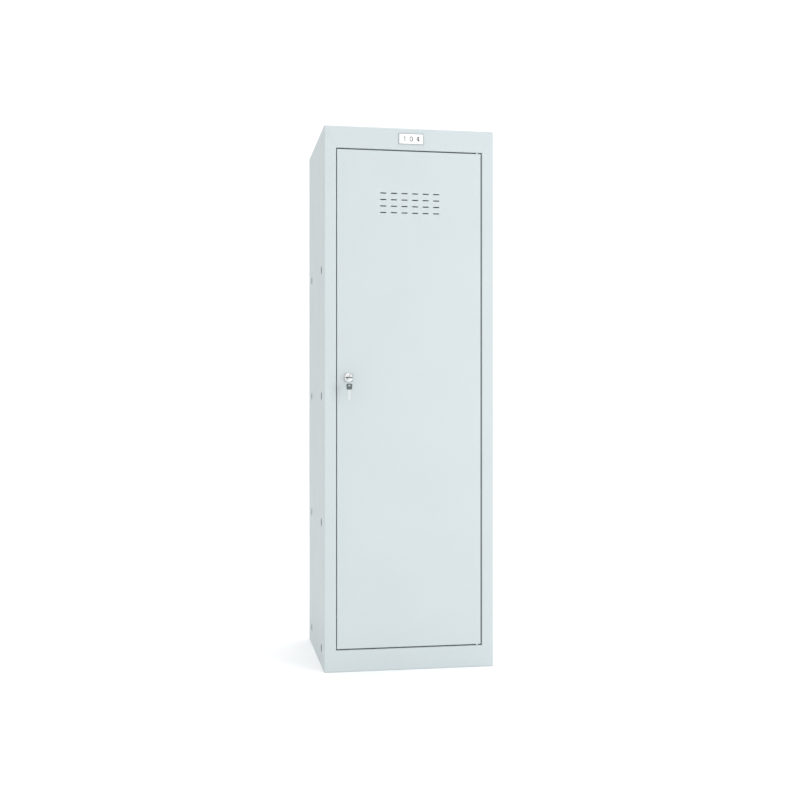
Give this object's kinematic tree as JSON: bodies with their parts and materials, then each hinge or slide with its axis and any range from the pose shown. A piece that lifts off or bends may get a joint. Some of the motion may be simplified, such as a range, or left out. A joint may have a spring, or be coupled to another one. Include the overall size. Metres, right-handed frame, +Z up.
{
  "type": "locker cabinet",
  "caption": "Tall free-standing sheet-steel locker with a hinged vented door, a cam lock with keys, and a hat shelf with coat hooks inside.",
  "frame": {"origin": "middle of the 380 by 380 mm footprint, on the floor under the base pan", "axes": "+X to the hinge side (right, seen from the front), -Y out through the door, +Z up"},
  "size_m": [0.38, 0.4223, 1.2],
  "materials": {
    "front_paint": "light grey powder coat, satin",
    "side_paint": "light grey powder coat, satin",
    "zinc": "bright zinc plate",
    "pin_steel": "ground steel",
    "chrome": "bright chrome",
    "escutcheon": "satin nickel",
    "key_steel": "nickel plate",
    "key_plastic": "moulded, fine texture",
    "nylon": "moulded nylon",
    "buffer_rubber": "matt",
    "plate_rim": "satin",
    "plate_white": "smooth",
    "digit_red": "smooth"
  },
  "bodies": {
    "carcass": {"left_side_panel": "side_paint", "right_side_panel": "side_paint", "top_panel": "front_paint", "base_pan": "front_paint", "back_panel": "side_paint", "back_rivets": "zinc", "left_shelf_runner": "side_paint", "right_shelf_runner": "side_paint", "hat_shelf": "front_paint", "shelf_screws": "zinc", "shelf_nuts": "zinc", "double_coat_hook": "zinc", "double_hook_screws": "zinc", "double_hook_nuts": "zinc", "left_coat_hook": "zinc", "right_coat_hook": "zinc", "coat_hook_rivets": "zinc", "top_hinge_bracket": "zinc", "bottom_hinge_bracket": "zinc", "top_hinge_pin": "pin_steel", "bottom_hinge_pin": "pin_steel", "door_buffers": "buffer_rubber", "number_plate_frame": "plate_rim", "number_plate": "plate_white", "number_digits": "digit_red"},
    "door": {"door_skin": "front_paint", "door_stiffener": "side_paint", "lock_reinforcement": "zinc", "top_hinge_plate": "zinc", "bottom_hinge_plate": "zinc", "top_hinge_bush": "nylon", "bottom_hinge_bush": "nylon", "lock_escutcheon": "escutcheon", "lock_body": "chrome", "lock_nut": "zinc"},
    "lock_cylinder": {"lock_plug": "chrome", "lock_cam": "zinc", "cam_washer": "zinc", "cam_screw": "zinc"},
    "key": {"key_blade": "key_steel", "key_bow": "key_plastic"},
    "ring": {"key_ring": "key_steel"},
    "spare_key": {"spare_key_blade": "key_steel", "spare_key_bow": "key_plastic"}
  },
  "joints": [
    {"name": "door_swing", "type": "hinge", "parent": "carcass", "child": "door", "pos_m": [0.1537, -0.184, 0.6], "axis": [0, 0, 1], "range_deg": [0, 110]},
    {"name": "lock_turn", "type": "hinge", "parent": "door", "child": "lock_cylinder", "pos_m": [-0.1365, -0.18, 0.647], "axis": [0, 1, 0], "range_deg": [0, 90]},
    {"name": "key_slide", "type": "slide", "parent": "lock_cylinder", "child": "key", "axis": [0, -1, 0], "range_m": [0, 0.016]},
    {"name": "ring_swing", "type": "hinge", "parent": "key", "child": "ring", "pos_m": [-0.1375, -0.2106, 0.647], "axis": [-1, 0, 0], "range_deg": [0, 65]},
    {"name": "spare_key_swing", "type": "hinge", "parent": "ring", "child": "spare_key", "pos_m": [-0.1375, -0.21845, 0.6419], "axis": [-1, 0, 0], "range_deg": [-36, 85]}
  ]
}
